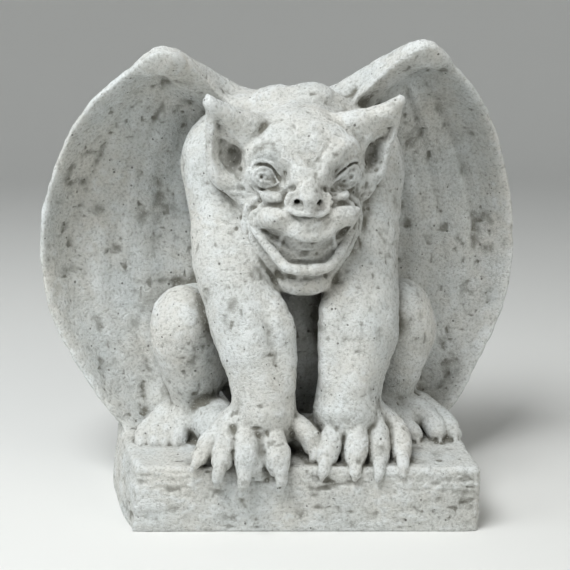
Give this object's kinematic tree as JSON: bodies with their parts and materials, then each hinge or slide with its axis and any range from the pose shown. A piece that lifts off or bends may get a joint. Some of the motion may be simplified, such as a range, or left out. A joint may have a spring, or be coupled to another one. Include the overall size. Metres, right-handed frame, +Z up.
{
  "type": "stone gargoyle",
  "caption": "Crouching winged gargoyle ornament cast in one piece with a low rough rectangular base.",
  "frame": {"origin": "middle of the overall box at the height of the base's underside", "axes": "+Z up, +Y towards the figure's back, +X towards its left wing, the viewer's right"},
  "size_m": [0.3278, 0.1784, 0.2988],
  "materials": {
    "cast_stone": "rough pale grey cast stone"
  },
  "bodies": {
    "root": {"gargoyle": "cast_stone"}
  },
  "joints": []
}
